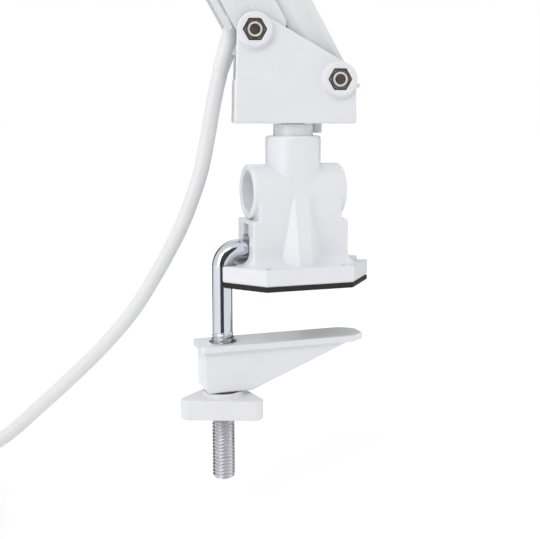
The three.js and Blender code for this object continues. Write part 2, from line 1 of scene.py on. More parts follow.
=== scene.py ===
"""The visual model of a clamp-on swing arm desk lamp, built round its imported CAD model. Lengths are in
millimetres until a mesh is made. The origin is under the rubber pad, on the axis the turret turns about."""
import math

import bpy
import numpy as np
from mathutils import Matrix, Vector


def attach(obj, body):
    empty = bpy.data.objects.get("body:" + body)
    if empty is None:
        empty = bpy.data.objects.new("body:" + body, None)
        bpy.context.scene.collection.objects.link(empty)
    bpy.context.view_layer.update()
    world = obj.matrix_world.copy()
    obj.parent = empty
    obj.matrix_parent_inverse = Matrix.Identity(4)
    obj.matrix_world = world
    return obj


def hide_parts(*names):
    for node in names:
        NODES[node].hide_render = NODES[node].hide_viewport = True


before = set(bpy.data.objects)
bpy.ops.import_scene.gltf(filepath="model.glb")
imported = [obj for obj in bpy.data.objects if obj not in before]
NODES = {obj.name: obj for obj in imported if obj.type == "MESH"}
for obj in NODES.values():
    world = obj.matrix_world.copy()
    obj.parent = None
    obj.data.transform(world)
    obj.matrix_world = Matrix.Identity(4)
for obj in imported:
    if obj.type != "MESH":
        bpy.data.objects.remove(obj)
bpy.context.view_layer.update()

MM = 0.001
SCENE = bpy.context.scene

# ------------------------------------------------------------------ frames of the parts

IDENTITY = Matrix.Identity(4)
TURRET = Matrix.Rotation(math.radians(-13), 4, "Z")
CORD_PLANE = Matrix.Rotation(math.radians(-18.6), 4, "Z")  # the cord hangs in its X-Z plane


def along(start, length, angle):
    """The point that far from the start, in a plane and at that many degrees."""
    a = math.radians(angle)
    return start[0] + length * math.cos(a), start[1] + length * math.sin(a)


# The pivots' centres, in the turret's own X-Z plane.
PIVOT_A, PIVOT_B = (-14, 86.3), (14.6, 70.3)
LOWER_LENGTH, LOWER_ANGLE = 380, 119.5
UPPER_LENGTH, UPPER_ANGLE = 360, 18
ELBOW_A = along(PIVOT_A, LOWER_LENGTH, LOWER_ANGLE)
ELBOW_B = along(PIVOT_B, LOWER_LENGTH, LOWER_ANGLE)
UPPER_A = ELBOW_A[0] + 30, ELBOW_A[1] + 38
UPPER_B = ELBOW_A[0] + 35.9, ELBOW_A[1] + 4.4
SPACER = ELBOW_A[0] + 22, ELBOW_A[1] + 9.5
HEAD_A = along(UPPER_A, UPPER_LENGTH, UPPER_ANGLE)
HEAD_B = along(UPPER_B, UPPER_LENGTH, UPPER_ANGLE)
STEM_X, STEM_LOW = HEAD_B[0] + 34, HEAD_B[1] - 2
HEAD = TURRET @ Matrix.Translation((STEM_X, 0, STEM_LOW))
TILT_Z, CAP_TOP, SHADE_TOP = -23, -35, -81  # in the head's frame, which is under its bracket

FLOOR = -88  # what the coil and the plug lie on
BOLT_X = -26

# ------------------------------------------------------------------ meshes


def piece(name, verts, faces, materials, body, slot, replaces=(), place=IDENTITY, sharp=35, choose=None):
    """A mesh from points in millimetres, riding on a body and standing for some CAD nodes."""
    mesh = bpy.data.meshes.new(name)
    points = np.asarray(verts, float) @ np.array(place.to_3x3()).T + np.array(place.translation)
    mesh.from_pydata((points * MM).tolist(), [], faces)
    for m in materials if isinstance(materials, (list, tuple)) else [materials]:
        mesh.materials.append(m)
    mesh.polygons.foreach_set("use_smooth", [True] * len(mesh.polygons))
    if choose is not None:
        middles = np.array([p.center for p in mesh.polygons]) / MM
        mesh.polygons.foreach_set("material_index", choose(middles).astype(int))
    mesh.update()
    if sharp:
        mesh.set_sharp_from_angle(angle=math.radians(sharp))
    obj = bpy.data.objects.new(name, mesh)
    SCENE.collection.objects.link(obj)
    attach(obj, body)
    if replaces:
        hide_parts(*replaces)
    return obj


def rings(rows, closed=False):
    """Joins loops of as many points each into a skin with flat ends, or one that closes on the first loop."""
    rows = np.asarray(rows, float)
    count, around = rows.shape[:2]
    ids = np.arange(count * around).reshape(count, around)
    after = np.roll(ids, -1, 1)
    faces = []
    for i in range(count if closed else count - 1):
        j = (i + 1) % count
        faces += np.stack([ids[i], after[i], after[j], ids[j]], 1).tolist()
    if not closed:
        faces += [ids[0][::-1].tolist(), ids[-1].tolist()]
    return rows.reshape(-1, 3), faces


def rounded_corners(points, radius, closed=False, steps=4):
    """The polyline with each corner replaced by a small arc."""
    out = [] if closed else [points[0]]
    n = len(points)
    for i in range(0 if closed else 1, n if closed else n - 1):
        p, q, r = (np.array(points[k % n], float) for k in (i - 1, i, i + 1))
        a, b = p - q, r - q
        la, lb = np.linalg.norm(a), np.linalg.norm(b)
        reach = min(radius, la * 0.45, lb * 0.45)
        start, end = q + a / la * reach, q + b / lb * reach
        for k in range(steps + 1):
            t = k / steps
            out.append(tuple((1 - t) ** 2 * start + 2 * t * (1 - t) * q + t * t * end))
    return out if closed else out + [points[-1]]


def turn_of(sides):
    """Equal angles that go once round."""
    return np.arange(sides) * 2 * math.pi / sides


def loop(radius, height, angles):
    """A ring of points round the Z axis."""
    return np.stack(np.broadcast_arrays(radius * np.cos(angles), radius * np.sin(angles), height), 1)


def lathe(profile, sides=96, closed=False):
    """A solid of revolution from (radius, height) points that go up the outside."""
    return rings([loop(max(r, 0.001), h, turn_of(sides)) for r, h in profile], closed)


def spline(points, spacing):
    """A centripetal Catmull-Rom curve through the points, sampled about every `spacing`."""
    p = [np.array(q, float) for q in points]
    p = [2 * p[0] - p[1], *p, 2 * p[-1] - p[-2]]
    out = []
    for a, b, c, d in zip(p, p[1:], p[2:], p[3:]):
        t0 = 0.0
        t1 = t0 + np.linalg.norm(b - a) ** 0.5
        t2 = t1 + np.linalg.norm(c - b) ** 0.5
        t3 = t2 + np.linalg.norm(d - c) ** 0.5
        count = max(2, round(np.linalg.norm(c - b) / spacing))
        for t in np.linspace(t1, t2, count, endpoint=False):
            ab = ((t1 - t) * a + (t - t0) * b) / (t1 - t0)
            bc = ((t2 - t) * b + (t - t1) * c) / (t2 - t1)
            cd = ((t3 - t) * c + (t - t2) * d) / (t3 - t2)
            abc = ((t2 - t) * ab + (t - t0) * bc) / (t2 - t0)
            bcd = ((t3 - t) * bc + (t - t1) * cd) / (t3 - t1)
            out.append(((t2 - t) * abc + (t - t1) * bcd) / (t2 - t1))
    return np.array([*out, p[-2]])


def sweep(path, radius, sides=20, up=(0, 0, 1)):
    """A skin round a path, whose frames don't twist along it. The radius is one number, one for each point,
    or one for each side at each point."""
    path = np.asarray(path, float)
    tangent = np.gradient(path, axis=0)
    tangent /= np.linalg.norm(tangent, axis=1)[:, None]
    normal = np.cross(tangent[0], up)
    if np.linalg.norm(normal) < 1e-6:
        normal = np.array([0.0, 1.0, 0.0])
    angles = turn_of(sides)
    radii = radius if np.ndim(radius) == 2 else np.reshape(radius, (-1, 1))
    rows = []
    for point, t, r in zip(path, tangent, np.broadcast_to(radii, (len(path), sides))):
        normal = normal - t * np.dot(normal, t)
        normal /= np.linalg.norm(normal)
        side = np.cross(t, normal)
        rows.append(point + r[:, None] * (np.cos(angles)[:, None] * normal + np.sin(angles)[:, None] * side))
    return rings(rows)


# ------------------------------------------------------------------ cast shapes, from distance fields


def span(v, low, high):
    """Distance past the ends of a stretch of one axis."""
    return np.abs(v - (low + high) / 2) - (high - low) / 2


def disc(a, b, radius, ca=0.0, cb=0.0):
    """Distance past a circle round (ca, cb), in the plane of two axes."""
    return np.hypot(a - ca, b - cb) - radius


def rounded(plan, up, radius):
    """The body with that outline distance and that distance past its flat ends, its edges rounded."""
    a, b = plan + radius, up + radius
    return np.minimum(np.maximum(a, b), 0) + np.hypot(np.maximum(a, 0), np.maximum(b, 0)) - radius


def block(x, y, z, box, radius):
    """A box given by its stretch of each axis, with every edge rounded."""
    return rounded(rounded(span(x, *box[0]), span(y, *box[1]), radius), span(z, *box[2]), radius)


def polygon(a, b, points):
    """Signed distance to a closed outline."""
    best, sign = np.full(np.broadcast(a, b).shape, 1e9), np.ones(np.broadcast(a, b).shape)
    for (x0, y0), (x1, y1) in zip(points, [*points[1:], points[0]]):
        ex, ey, wx, wy = x1 - x0, y1 - y0, a - x0, b - y0
        t = np.clip((wx * ex + wy * ey) / (ex * ex + ey * ey), 0, 1)
        best = np.minimum(best, np.hypot(wx - ex * t, wy - ey * t))
        above, below, left = b >= y0, b < y1, ex * wy > ey * wx
        sign = np.where((above & below & left) | (~above & ~below & ~left), -sign, sign)
    return best * sign


def hull_of(circles, per_circle=40):
    """Outline of the convex hull round circles, each (x, y, radius)."""
    angles = (np.arange(per_circle) + 0.5) * 2 * math.pi / per_circle
    points = sorted((x + r * math.cos(a), y + r * math.sin(a)) for x, y, r in circles for a in angles)

    def half(items):
        chain = []
        for p in items:
            while len(chain) > 1:
                (ax, ay), (bx, by) = chain[-2:]
                if (bx - ax) * (p[1] - ay) - (by - ay) * (p[0] - ax) > 1e-9:
                    break
                chain.pop()
            chain.append(p)
        return chain[:-1]

    return half(points) + half(points[::-1])


def hexagon(across, x, z):
    """The corners of a hexagon that is that far across its flats."""
    corner = across / math.sqrt(3)
    return [along((x, z), corner, 60 * i) for i in range(6)]


def half_space(x, y, z, p, q, r, inner):
    """Distance past the plane through three points, less than zero on the side of `inner`."""
    p, q, r, inner = (np.array(v, float) for v in (p, q, r, inner))
    n = np.cross(q - p, r - p)
    n /= np.linalg.norm(n)
    if np.dot(inner - p, n) > 0:
        n = -n
    return (x - p[0]) * n[0] + (y - p[1]) * n[1] + (z - p[2]) * n[2]


def fuse(a, b, fillet):
    """Union with a cast fillet along the join."""
    if fillet <= 0:
        return np.minimum(a, b)
    h = np.maximum(fillet - np.abs(a - b), 0) / fillet
    return np.minimum(a, b) - h * h * fillet / 4


def carve(a, tool, edge=0.0):
    """Subtraction, with the new edge eased."""
    return -fuse(-a, tool, edge)


def skin(field, low, high, step):
    """The surface where a distance field is zero, as quads: one point in each grid cell that the surface
    passes through, which is then moved onto the surface."""
    axes = [np.arange(a - 2 * step, b + 2.01 * step, step) for a, b in zip(low, high)]
    shape = tuple(len(v) for v in axes)
    d = np.broadcast_to(field(*np.meshgrid(*axes, indexing="ij", sparse=True)), shape)
    keys, points, quads = [], [], []
    for axis in range(3):
        u, v = (axis + 1) % 3, (axis + 2) % 3
        first = d.take(range(shape[axis] - 1), axis)
        second = d.take(range(1, shape[axis]), axis)
        where = np.argwhere((first < 0) != (second < 0))
        f, s = first[tuple(where.T)], second[tuple(where.T)]
        at = where.astype(float)
        at[:, axis] += f / (f - s)
        ring = []
        for du, dv in ((0, 0), (-1, 0), (-1, -1), (0, -1)):
            cell = where.copy()
            cell[:, u] += du
            cell[:, v] += dv
            ring.append(np.ravel_multi_index(cell.T, shape))
            points.append(at)
        quad = np.stack(ring, 1)
        quad[f >= 0] = quad[f >= 0][:, ::-1]
        quads.append(quad)
        keys += ring
    unique, inverse = np.unique(np.concatenate(keys), return_inverse=True)
    points = np.concatenate(points)
    count = np.bincount(inverse)
    verts = np.stack([np.bincount(inverse, points[:, k]) / count for k in range(3)], 1)
    verts = verts * step + [a[0] for a in axes]
    small = step * 0.05
    for _ in range(2):
        value = field(*verts.T)
        slope = [field(*(verts + small * e).T) - field(*(verts - small * e).T) for e in np.eye(3)]
        slope = np.stack(slope, 1) / (2 * small)
        steep = np.maximum((slope ** 2).sum(1), 0.25)
        move = np.clip(value / steep, -step * 0.5, step * 0.5)
        verts -= slope * move[:, None]
    return verts, np.searchsorted(unique, np.concatenate(quads)).tolist()


# ------------------------------------------------------------------ materials


def node(tree, kind, values=(), **settings):
    """A shader node, its inputs given as values or as the sockets they come from."""
    made = tree.nodes.new(kind)
    for key, value in settings.items():
        setattr(made, key, value)
    for socket, value in dict(values).items():
        if isinstance(value, bpy.types.NodeSocket):
            tree.links.new(value, made.inputs[socket])
        else:
            made.inputs[socket].default_value = value
    return made


def material(name, colour, rough, mottle=0.03, mottle_size=12, grain=0.02, grain_size=0.35, rough_spread=0.05,
             stretch=(1, 1, 1), **sockets):
    """A shader whose colour, gloss and relief vary over the surface; sizes are in millimetres."""
    made = bpy.data.materials.new(name)
    made.use_nodes = True
    tree = made.node_tree
    shader = tree.nodes["Principled BSDF"]
    place = node(tree, "ShaderNodeTexCoord").outputs["Object"]
    place = node(tree, "ShaderNodeMapping", {"Vector": place, "Scale": stretch}).outputs["Vector"]
    broad = node(tree, "ShaderNodeTexNoise", {"Vector": place, "Scale": 1000 / mottle_size, "Detail": 4.0})
    fine = node(tree, "ShaderNodeTexNoise", {"Vector": place, "Scale": 1000 / grain_size, "Detail": 2.0})
    blend = node(tree, "ShaderNodeMix", {0: broad.outputs["Fac"]}, data_type="RGBA")
    blend.inputs[6].default_value = (*[c * (1 - mottle) for c in colour], 1)
    blend.inputs[7].default_value = (*[min(1, c * (1 + mottle)) for c in colour], 1)
    tree.links.new(blend.outputs[2], shader.inputs["Base Color"])
    gloss = node(tree, "ShaderNodeMapRange", {0: broad.outputs["Fac"], 1: 0.3, 2: 0.7,
                                              3: rough - rough_spread, 4: rough + rough_spread})
    tree.links.new(gloss.outputs[0], shader.inputs["Roughness"])
    relief = {"Height": fine.outputs["Fac"], "Strength": 0.6, "Distance": grain * MM}
    bump = node(tree, "ShaderNodeBump", relief)
    tree.links.new(bump.outputs[0], shader.inputs["Normal"])
    for socket, value in sockets.items():
        shader.inputs[socket.replace("_", " ")].default_value = value
    return made


WHITE_CAST = material("white_powder_coat", (0.72, 0.725, 0.755), 0.36, grain=0.05, grain_size=0.5,
                      Coat_Weight=0.15)
WHITE_ARM = material("white_coated_steel", (0.71, 0.715, 0.73), 0.33, mottle=0.01, mottle_size=40,
                     grain=0.008, grain_size=0.6, rough_spread=0.02, Coat_Weight=0.2)
WHITE_SHADE = material("white_lacquer", (0.74, 0.74, 0.745), 0.28, mottle=0.01, mottle_size=80, grain=0.004,
                       grain_size=0.8, rough_spread=0.02, Coat_Weight=0.4)
WHITE_PLASTIC = material("white_moulded_plastic", (0.71, 0.71, 0.73), 0.42, grain=0.02, grain_size=0.25,
                         Subsurface_Weight=0.05, Subsurface_Scale=0.001)
WHITE_CORD = material("white_pvc_sheath", (0.70, 0.70, 0.70), 0.4, grain=0.03, grain_size=1.2,
                      Subsurface_Weight=0.08, Subsurface_Scale=0.001)
RUBBER = material("dark_rubber", (0.017, 0.012, 0.010), 0.85, mottle=0.3, mottle_size=1.5, grain=0.3,
                  grain_size=0.5, rough_spread=0.08)
CHROME = material("bright_plating", (0.60, 0.63, 0.68), 0.08, grain=0.004, grain_size=0.3, mottle=0.05,
                  rough_spread=0.03, stretch=(1, 1, 0.1), Metallic=1.0)
ZINC_THREAD = material("zinc_thread", (0.64, 0.65, 0.67), 0.36, grain=0.004, grain_size=0.3, mottle=0.06,
                       mottle_size=2, Metallic=1.0)
STEEL_DARK = material("dark_steel", (0.22, 0.22, 0.24), 0.34, grain=0.01, grain_size=0.15, mottle=0.15,
                      mottle_size=2, Metallic=1.0)
NICKEL = material("warm_nickel", (0.80, 0.68, 0.56), 0.35, grain=0.006, grain_size=0.15, mottle=0.1,
                  mottle_size=1, Metallic=0.4)
BRASS = material("turned_brass", (0.60, 0.43, 0.20), 0.28, grain=0.01, grain_size=0.2, Metallic=1.0)
OPAL = material("opal_glass", (0.88, 0.87, 0.84), 0.22, grain=0.005, grain_size=1.0, mottle=0.02,
                Subsurface_Weight=0.4, Subsurface_Scale=0.004, Coat_Weight=0.3)

# ------------------------------------------------------------------ camera, floor and light

CAMERA_AT = (-0.1080, -0.2958, 0.0575)
CAMERA_TURN, CAMERA_DOWN = -18.6, 9.6
LENS, SENSOR = 59.7, 36
camera_data = bpy.data.cameras.new("camera")
camera_data.lens = LENS
camera_data.sensor_width = SENSOR
camera_data.clip_start = 0.01
camera = bpy.data.objects.new("camera", camera_data)
camera.location = CAMERA_AT
camera.rotation_euler = (math.radians(90 - CAMERA_DOWN), 0, math.radians(CAMERA_TURN))
SCENE.collection.objects.link(camera)
SCENE.camera = camera
SCENE.view_settings.view_transform = "Standard"


def stage_panel(name, corners, shade):
    """A flat piece of the studio, such as the floor."""
    mesh = bpy.data.meshes.new(name)
    mesh.from_pydata(corners, [], [list(range(len(corners)))])
    mesh.materials.append(shade)
    panel = bpy.data.objects.new(name, mesh)
    SCENE.collection.objects.link(panel)
    return panel


FLOOR_HALF = 40  # in metres, so that its edge is never seen
floor_shade = material("pale_floor", (0.87, 0.87, 0.87), 0.9, mottle=0.005, mottle_size=400, grain=0.0,
                       Emission_Color=(1, 1, 1, 1), Emission_Strength=0.12)
floor_corners = [(x * FLOOR_HALF, y * FLOOR_HALF, FLOOR * MM)
                 for x, y in ((-1, -1), (1, -1), (1, 1), (-1, 1))]
stage_panel("studio_floor", floor_corners, floor_shade)

world = bpy.data.worlds.new("studio")
world.use_nodes = True
world.node_tree.nodes["Background"].inputs["Color"].default_value = (1, 1, 1, 1)
world.node_tree.nodes["Background"].inputs["Strength"].default_value = 1.0
SCENE.world = world


def soft_box(name, at, target, size, power):
    """A rectangular light that points at a target; places and sizes are in metres."""
    light = bpy.data.lights.new(name, "AREA")
    light.shape = "RECTANGLE"
    light.size, light.size_y = size
    light.energy = power
    lamp = bpy.data.objects.new(name, light)
    lamp.location = at
    lamp.rotation_euler = (Vector(target) - Vector(at)).to_track_quat("-Z", "Y").to_euler()
    SCENE.collection.objects.link(lamp)


def dark_card(name, distance, turn, half_turn, low, high, diffuse):
    """An upright card that no camera sees, for the plating to mirror and, if it is a diffuse one, to darken
    the whites. It stands round the hook bolt, in metres and degrees, and turns from the camera's side."""
    middle = CAMERA_TURN - 90 + turn
    (x0, y0), (x1, y1) = (along((BOLT_X * MM, 0), distance, middle + t) for t in (-half_turn, half_turn))
    card = stage_panel(name, [(x0, y0, low), (x1, y1, low), (x1, y1, high), (x0, y0, high)], card_shade)
    card.visible_camera = False
    card.visible_shadow = False
    card.visible_diffuse = diffuse


card_shade = material("dark_card", (0.05, 0.05, 0.055), 0.9, mottle=0.1, mottle_size=60)
soft_box("soft_box_left", (-1.4, -0.75, 0.5), (0, 0, 0.05), (0.8, 1.2), 5)
soft_box("soft_box_right", (1.4, -0.2, 0.6), (0, 0, 0.05), (0.8, 1.2), 2)
soft_box("soft_box_key", (-0.9, -1.1, 1.2), (0, 0, 0.08), (1.0, 0.8), 7)
dark_card("dark_card_behind", 1.3, 0, 28, FLOOR * MM, 0.9, True)
for label, turn, half_turn in (("centre", 0, 20), ("left", -150, 22), ("right", 150, 22)):
    dark_card(f"dark_card_{label}", 0.26, turn, half_turn, (FLOOR + 1) * MM, 0.14, False)

# ------------------------------------------------------------------ power cord

CORD_RADIUS = 2.6
COIL_AT = (-152, -33.9)
COIL_OUTER, COIL_INNER, COIL_DROP, COIL_LAYERS = 33.9, 23.1, 5.4, 4
EXTRA_TURN, LAST_TUCK = 0.25, 0.7
COIL_LOW = FLOOR + 1.5
COIL_TOP = COIL_LOW + COIL_LAYERS * COIL_DROP
TOP_LAYER, BOTTOM_LAYER = COIL_TOP - COIL_DROP / 2, COIL_LOW + COIL_DROP / 2
PLUG_Z = FLOOR + 6.9
HANGING = [
    (-25, -2.5, 72.7), (-26.6, -2.5, 66), (-28.1, -2.4, 58.6), (-29.3, -2.3, 52), (-30.5, -2.2, 45.9),
    (-32.1, -2, 39), (-34.3, -1.8, 32.3), (-37.2, -1.6, 24.5), (-40.8, -1.3, 16.6), (-48.3, -1, 3),
    (-57, -0.6, -10.6), (-67.5, -0.3, -23), (-80.2, 0, -35.6), (-91.7, 0, -46.1), (-104.2, 0, -57.1),
    (-112, 0, -62.1), (-120.5, 0, -65.8), (-131.3, 0, TOP_LAYER),
]


def coil_turns():
    """Two turns in each layer, wound in, out, in and out again from the top layer down."""
    points = []
    turns, per_turn = 2 * COIL_LAYERS + EXTRA_TURN, 30
    for i in range(round(turns * per_turn) + 1):
        t = i / per_turn
        layer = min(int(t / 2), COIL_LAYERS - 1)
        last = layer == COIL_LAYERS - 1
        share = (t - 2 * layer) / (2 + EXTRA_TURN if last else 2)
        inner = COIL_INNER - LAST_TUCK if last else COIL_INNER
        begin, end = (COIL_OUTER, inner) if layer % 2 == 0 else (inner, COIL_OUTER)
        step = 0 if last else np.clip((t - 2 * layer - 1.8) / 0.2, 0, 1)
        z = TOP_LAYER - COIL_DROP * (layer + step * step * (3 - 2 * step))
        r = begin + (end - begin) * share
        a = math.pi / 2 + 2 * math.pi * t
        points.append((COIL_AT[0] + r * math.cos(a), COIL_AT[1] + r * math.sin(a), z))
    return points


def tail_points():
    """From the coil's bottom layer straight into the plug."""
    x = COIL_AT[0] - COIL_OUTER
    return [(x, COIL_AT[1] - y, z) for y, z in (
        (12, BOTTOM_LAYER), (20, BOTTOM_LAYER), (26, BOTTOM_LAYER + 0.3), (33, PLUG_Z - 0.6), (38, PLUG_Z))]


cord_path = spline([*HANGING, (-138, 0, TOP_LAYER), (-145, 0, TOP_LAYER), *coil_turns(), *tail_points()], 2.2)
sleeved = CORD_PLANE.inverted() @ TURRET @ Vector((-24.4, 0, 75.6))  # the sheath runs on inside the sleeve
sheath = sweep(np.vstack([tuple(sleeved), cord_path]), CORD_RADIUS)
cord = piece("power_cord_flex", *sheath, WHITE_CORD, "turret", "white_cord",
             ["power_cord", "cord_coil", "cord_tail"], CORD_PLANE, sharp=60)

# ------------------------------------------------------------------ plug and tie

PLUG = CORD_PLANE @ Matrix.Translation((COIL_AT[0] - COIL_OUTER, COIL_AT[1] - 38.3, PLUG_Z)) @ \
    Matrix.Rotation(math.pi, 4, "Z")


def plug_field(x, y, z):
    """A flat moulding with hollowed grips, and a ribbed sleeve where the cord goes in."""
    corners = [(side * half, far, 3) for half, far in ((4, 15), (14.5, 32), (14.5, 43)) for side in (-1, 1)]
    body = rounded(polygon(x, y, hull_of(corners, 32)), span(z, -6.8, 6.8), 2.2)
    grip = np.hypot(np.abs(x) - 24.5, y - 30) - 10
    body = carve(body, grip, 1.5)
    taper = np.hypot(x, z) - (3.1 + 1.5 * np.clip(y / 14, 0, 1))
    groove = 0.35 * (np.cos(y * 2 * math.pi / 2.4) > 0.2)
    relief = np.maximum(taper + groove * ((y > 1.5) & (y < 12)), span(y, 0, 18))
    return fuse(body, relief, 1.5)


plug_body = piece("plug_moulding", *skin(plug_field, (-18, 0, -7), (18, 46.5, 7), 0.55), WHITE_PLASTIC,
                  "turret", "white_plastic", ["plug_body"], PLUG, sharp=50)
PIN_SLEEVE = 9.6
pin_profile = rounded_corners(
    [(0, 0), (2, 0), (2, PIN_SLEEVE), (1.9, PIN_SLEEVE), (1.9, 17.8), (1.2, 19), (0, 19)], 0.4)
for side, label in ((-1, "left"), (1, "right")):
    pin_at = PLUG @ Matrix.Translation((side * 9.3, 46.3, 0)) @ Matrix.Rotation(-math.pi / 2, 4, "X")
    piece(
        f"plug_pin_{label}_turned", *lathe(pin_profile, 40), [WHITE_PLASTIC, ZINC_THREAD], "turret",
        "zinc_hardware", [f"plug_pin_{label}"], pin_at,
        choose=lambda m, base=pin_at.translation: np.linalg.norm(m - np.array(base), axis=1) > PIN_SLEEVE)

tie_inner = (COIL_INNER - CORD_RADIUS - 1.5, COIL_LOW - 0.3)
tie_outer = (COIL_OUTER + CORD_RADIUS + 0.5, COIL_TOP + 0.3)


def tie_field(x, y, z):
    """A thin band round the coil's section, with its ends folded together."""
    ring = rounded(span(x, tie_inner[0], tie_outer[0]), span(z, tie_inner[1], tie_outer[1]), 2.4)
    band = np.maximum(np.abs(ring - 0.3) - 0.45, span(y, -3.2, 3.2))
    fold = block(x, y, z, ((tie_outer[0] - 4, tie_outer[0] + 0.9), (-3.4, 3.4), (-80, -74)), 0.5)
    return fuse(band, fold, 0.6)


tie_at = CORD_PLANE @ Matrix.Translation((*COIL_AT, 0)) @ Matrix.Rotation(math.radians(30), 4, "Z")
tie = piece("cord_tie_band", *skin(tie_field, (17, -3.5, -88), (39, 3.5, -63), 0.3), WHITE_PLASTIC, "turret",
            "white_plastic", ["cord_tie"], tie_at, sharp=60)

# ------------------------------------------------------------------ strain relief

relief_top, relief_end = np.array([-17.4, 0, 96.5]), np.array([-25.2, 0, 73.2])
relief_long = np.linalg.norm(relief_top - relief_end)
relief_rise = (relief_top - relief_end) / relief_long
relief_at = np.linspace(0, relief_long, 90)
relief_radius = np.interp(relief_at, [0, 1, relief_long - 6, relief_long - 1, relief_long],
                          [2.75, 2.85, 3.6, 3.7, 3.3])
relief = piece("cord_relief_sleeve", *sweep(relief_end + relief_at[:, None] * relief_rise, relief_radius, 40),
               WHITE_PLASTIC, "turret", "white_plastic", ["cord_strain_relief"], TURRET)


def lug_field(x, y, z):
    """The small clip that holds the sleeve to the block's left wall."""
    return block(x, y, z, ((-21.9, -17.7), (-2.4, 2.4), (78.4, 81.9)), 0.5)


lug = piece("cord_relief_lug", *skin(lug_field, (-22.2, -3, 78), (-17, 3, 82.5), 0.25), WHITE_PLASTIC,
            "turret", "white_plastic", (), TURRET)

# ------------------------------------------------------------------ desk clamp

PLATE_OUTLINE = [
    (-27, -4.7), (-15.7, -18.3), (15.7, -18.3), (27, -4.7), (27, -4.3), (21.4, -4.3), (21.4, 4.3), (27, 4.3),
    (27, 4.7), (15.7, 18.3), (-15.7, 18.3), (-27, 4.7), (-27, 4.3), (-21.4, 4.3), (-21.4, -4.3), (-27, -4.3),
]
PLATE_LOW, PLATE_TOP = 1.8, 7.5
SCREWS = [(-13.6, -14.6), (13.6, -14.6), (-13.6, 14.6), (13.6, 14.6)]
SCREW_HOLE = 1.2
COLUMN_RADIUS, COLUMN_TOP, COLUMN_BORE, BORE_FLOOR = 9.6, 51.5, 7.1, 22
BARREL_Z, BARREL_RADIUS, BARREL_BORE, BARREL_HALF = 32.5, 9.35, 7.0, 16.9
WAIST_HALF, WAIST_DEEP = 15, 9.2
SKIRT_HALF, SKIRT_TOP = 17.4, 22.8
SUNK = 4  # where the parts that stand on the plate begin, inside it
GUSSET_FOOT, GUSSET_SIDE, GUSSET_TIP = (2.1, -14.5, 7), (9.2, -8.5, 7), (2.6, -9.75, 31)
SLOT_HALF, SLOT_TOP, SLOT_NARROW_HALF, SLOT_NARROW_TOP = 4, 17.2, 2.9, 21.2
HOOK_Z, HOOK_HOLE = 12.6, 3.8


def bracket_field(x, y, z):
    """The plate, the upright socket, the cross barrel over its skirt, and a gusset at the front and back."""
    plate = rounded(polygon(x, y, PLATE_OUTLINE), span(z, PLATE_LOW, PLATE_TOP), 0.7)
    column = rounded(disc(x, y, COLUMN_RADIUS), span(z, SUNK, COLUMN_TOP), 1.0)
    barrel = rounded(disc(y, z, BARREL_RADIUS, 0, BARREL_Z), span(x, -BARREL_HALF, BARREL_HALF), 0.6)
    waist = block(x, y, z, ((-WAIST_HALF, WAIST_HALF), (-WAIST_DEEP, WAIST_DEEP), (SUNK, BARREL_Z)), 0.6)
    skirt_box = (-SKIRT_HALF, SKIRT_HALF), (-BARREL_RADIUS, BARREL_RADIUS), (SUNK, SKIRT_TOP)
    skirt = block(x, y, z, skirt_box, 0.7)
    across, aside = np.abs(y), np.abs(x)
    ridge = half_space(x, -across, z, GUSSET_FOOT, (-2.1, -14.5, 7), GUSSET_TIP, (0, 0, 10))
    flank = half_space(aside, -across, z, GUSSET_FOOT, GUSSET_SIDE, GUSSET_TIP, (0, -8, 8))
    wedge = np.maximum(np.maximum(ridge, flank), span(z, SUNK, 31.5))
    foot = fuse(skirt, plate, 5)
    body = fuse(fuse(barrel, waist, 0.5), foot, 0.4)
    body = fuse(body, column, 0.35)
    body = fuse(body, np.maximum(wedge, 5 - across), 0.3)
    body = carve(body, np.maximum(disc(x, y, COLUMN_BORE), BORE_FLOOR - z), 0.5)
    body = carve(body, disc(y, z, BARREL_BORE, 0, BARREL_Z), 0.5)
    body = carve(body, np.maximum(disc(y, z, HOOK_HOLE, 0, HOOK_Z), x + 5))
    slot = np.minimum(
        np.maximum(span(y, -SLOT_HALF, SLOT_HALF), span(z, PLATE_TOP, SLOT_TOP)),
        np.maximum(span(y, -SLOT_NARROW_HALF, SLOT_NARROW_HALF), span(z, 16, SLOT_NARROW_TOP)))
    body = carve(body, np.maximum(slot, np.maximum(10 - aside, aside - 30)), 0.4)
    for sx, sy in SCREWS:
        body = carve(body, disc(x, y, SCREW_HOLE, sx, sy), 0.1)
    return body


piece("bracket_cast_body", *skin(bracket_field, (-27.1, -18.4, 1.7), (27.1, 18.4, 51.6), 0.4), WHITE_CAST,
      "clamp_bracket", "white_cast", ["bracket_casting"], sharp=50)


def pad_field(x, y, z):
    """Just under the bracket's plate, so that the two don't touch."""
    return rounded(polygon(x, y, PLATE_OUTLINE), span(z, 0, 1.75), 0.4)


piece("desk_pad_foam", *skin(pad_field, (-27.1, -18.4, 0), (27.1, 18.4, 1.8), 0.4), RUBBER, "clamp_bracket",
      "rubber_pad", ["desk_pad"], sharp=60)

HOOK_BEND, HOOK_END = 6, -6
SHANK, CREST, TIP = 3.5, 4.0, 3.05
THREAD_PITCH, THREAD_DEPTH, THREAD_TOP, BOLT_LOW = 1.25, 0.75, -17.6, -70


